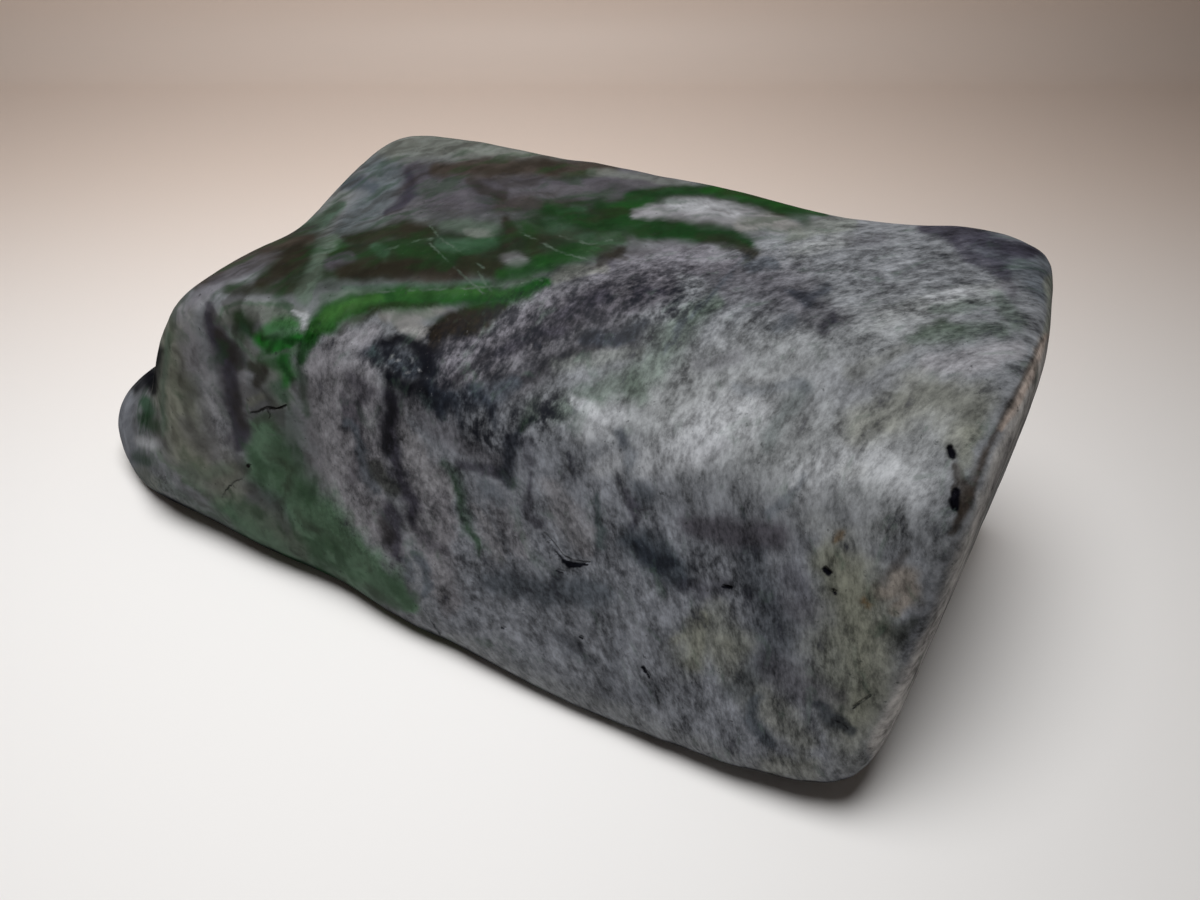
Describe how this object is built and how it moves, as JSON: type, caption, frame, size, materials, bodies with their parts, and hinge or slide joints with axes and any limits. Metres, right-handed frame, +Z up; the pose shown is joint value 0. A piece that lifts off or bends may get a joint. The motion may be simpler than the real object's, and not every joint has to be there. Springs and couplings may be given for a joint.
{
  "type": "jade boulder",
  "caption": "Tumbled wedge-shaped block of green, grey and lavender jade with rounded edges, which rests on a worn flat face.",
  "frame": {"origin": "middle of the stone's bounding box, on the surface that it rests on", "axes": "+X along the length towards the square end, +Y towards the back, +Z up"},
  "size_m": [0.142, 0.066, 0.0517],
  "materials": {
    "jade": "waxy polish over mottled grey, lavender and green stone"
  },
  "bodies": {
    "root": {"jade_boulder": "jade"}
  },
  "joints": []
}
